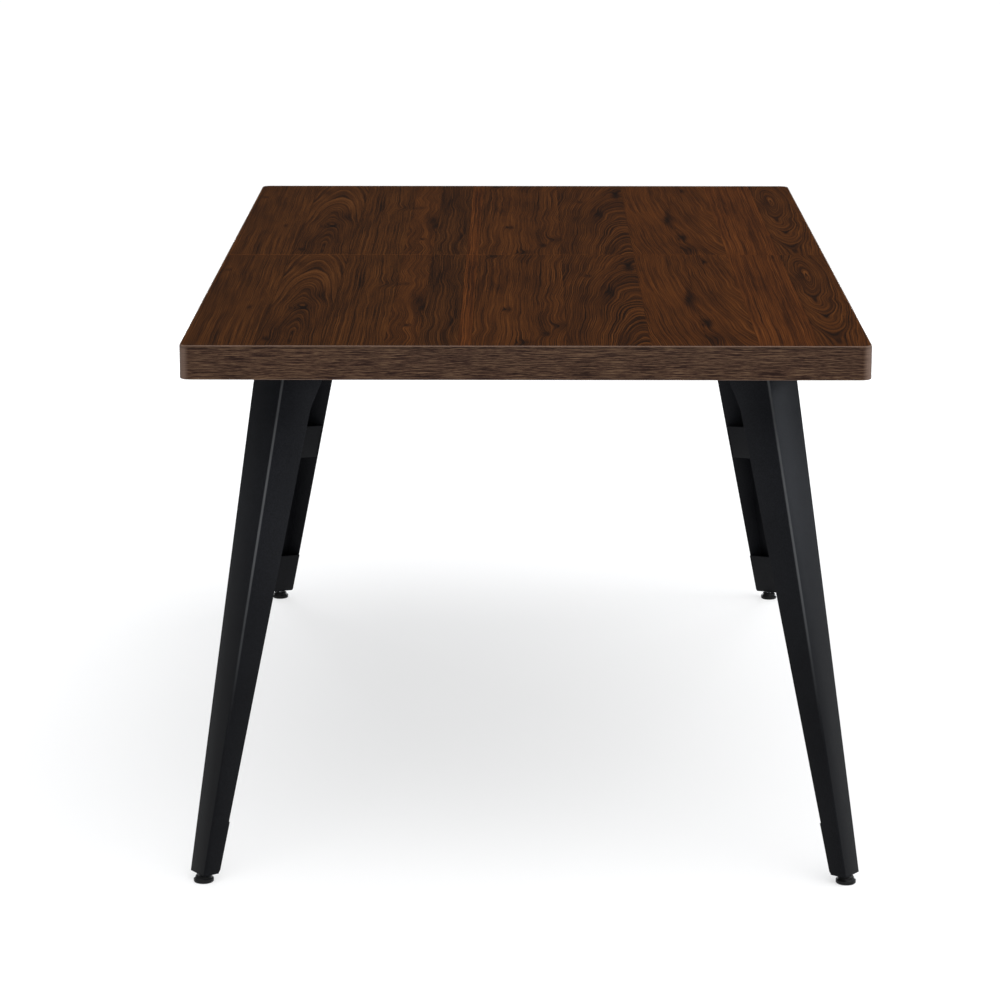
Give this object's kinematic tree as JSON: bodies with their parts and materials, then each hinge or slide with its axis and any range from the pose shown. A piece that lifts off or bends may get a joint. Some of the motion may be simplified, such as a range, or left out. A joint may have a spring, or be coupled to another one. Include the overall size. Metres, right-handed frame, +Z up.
{
  "type": "dining table",
  "caption": "Rectangular dining table with a thick walnut-look laminated top in two boards, splayed folded-steel legs and screw-in levelling feet.",
  "frame": {"origin": "on the floor under the middle of the table top", "axes": "+Z up, +Y along the table's length away from the front end, +X across its width to the right"},
  "size_m": [0.914, 1.563, 0.742],
  "materials": {
    "board_core": "sawn particle board",
    "walnut_laminate": "satin printed laminate in walnut staves",
    "walnut_edge_band": "satin edge band with fine straight grain",
    "backing_sheet": "matte balancing sheet",
    "beech_dowel": "fluted dowel",
    "black_steel": "satin powder coat",
    "zinc_steel": "zinc plated",
    "zinc_brass": "satin",
    "black_plastic": "moulded, fine texture"
  },
  "bodies": {
    "table": {"top_board_front": "board_core", "top_board_rear": "board_core", "laminate_front": "walnut_laminate", "laminate_rear": "walnut_laminate", "backing_front": "backing_sheet", "backing_rear": "backing_sheet", "edge_band_front": "walnut_edge_band", "edge_band_rear": "walnut_edge_band", "seam_dowels": "beech_dowel", "side_rail_left": "black_steel", "side_rail_right": "black_steel", "cross_beam_front": "black_steel", "cross_beam_middle": "black_steel", "cross_beam_rear": "black_steel", "rail_caps": "black_plastic", "seam_plate_left": "zinc_steel", "seam_plate_right": "zinc_steel", "mount_plate_front_left": "black_steel", "mount_plate_front_right": "black_steel", "mount_plate_rear_left": "black_steel", "mount_plate_rear_right": "black_steel", "leg_front_left": "black_steel", "leg_front_right": "black_steel", "leg_rear_left": "black_steel", "leg_rear_right": "black_steel", "mid_brace_front_left": "black_steel", "mid_brace_front_right": "black_steel", "mid_brace_rear_left": "black_steel", "mid_brace_rear_right": "black_steel", "foot_brace_front_left": "black_steel", "foot_brace_front_right": "black_steel", "foot_brace_rear_left": "black_steel", "foot_brace_rear_right": "black_steel", "base_plate_front_left": "black_steel", "base_plate_front_right": "black_steel", "base_plate_rear_left": "black_steel", "base_plate_rear_right": "black_steel", "leg_inserts": "zinc_brass", "leg_washers": "zinc_steel", "leg_bolts": "black_steel", "frame_screws": "zinc_steel", "seam_screws": "zinc_steel"},
    "pad_front_left": {"pad_front_left": "black_plastic"},
    "stud_front_left": {"stud_front_left": "zinc_steel"},
    "pad_front_right": {"pad_front_right": "black_plastic"},
    "stud_front_right": {"stud_front_right": "zinc_steel"},
    "pad_rear_left": {"pad_rear_left": "black_plastic"},
    "stud_rear_left": {"stud_rear_left": "zinc_steel"},
    "pad_rear_right": {"pad_rear_right": "black_plastic"},
    "stud_rear_right": {"stud_rear_right": "zinc_steel"}
  },
  "joints": [
    {"name": "level_front_left", "type": "slide", "parent": "table", "child": "pad_front_left", "axis": [0, 0, -1], "range_m": [-0.002, 0.008]},
    {"name": "turn_front_left", "type": "hinge", "parent": "pad_front_left", "child": "stud_front_left", "pos_m": [-0.43738, -0.76276, 0.015], "axis": [0, 0, -1], "range_deg": [-721, 2881]},
    {"name": "level_front_right", "type": "slide", "parent": "table", "child": "pad_front_right", "axis": [0, 0, -1], "range_m": [-0.002, 0.008]},
    {"name": "turn_front_right", "type": "hinge", "parent": "pad_front_right", "child": "stud_front_right", "pos_m": [0.43738, -0.76276, 0.015], "axis": [0, 0, -1], "range_deg": [-721, 2881]},
    {"name": "level_rear_left", "type": "slide", "parent": "table", "child": "pad_rear_left", "axis": [0, 0, -1], "range_m": [-0.002, 0.008]},
    {"name": "turn_rear_left", "type": "hinge", "parent": "pad_rear_left", "child": "stud_rear_left", "pos_m": [-0.43738, 0.76276, 0.015], "axis": [0, 0, -1], "range_deg": [-721, 2881]},
    {"name": "level_rear_right", "type": "slide", "parent": "table", "child": "pad_rear_right", "axis": [0, 0, -1], "range_m": [-0.002, 0.008]},
    {"name": "turn_rear_right", "type": "hinge", "parent": "pad_rear_right", "child": "stud_rear_right", "pos_m": [0.43738, 0.76276, 0.015], "axis": [0, 0, -1], "range_deg": [-721, 2881]}
  ],
  "couplings": [
    {"joint": "turn_front_left", "follows": "level_front_left", "rad_per_m": 6283.2},
    {"joint": "turn_front_right", "follows": "level_front_right", "rad_per_m": 6283.2},
    {"joint": "turn_rear_left", "follows": "level_rear_left", "rad_per_m": 6283.2},
    {"joint": "turn_rear_right", "follows": "level_rear_right", "rad_per_m": 6283.2}
  ]
}
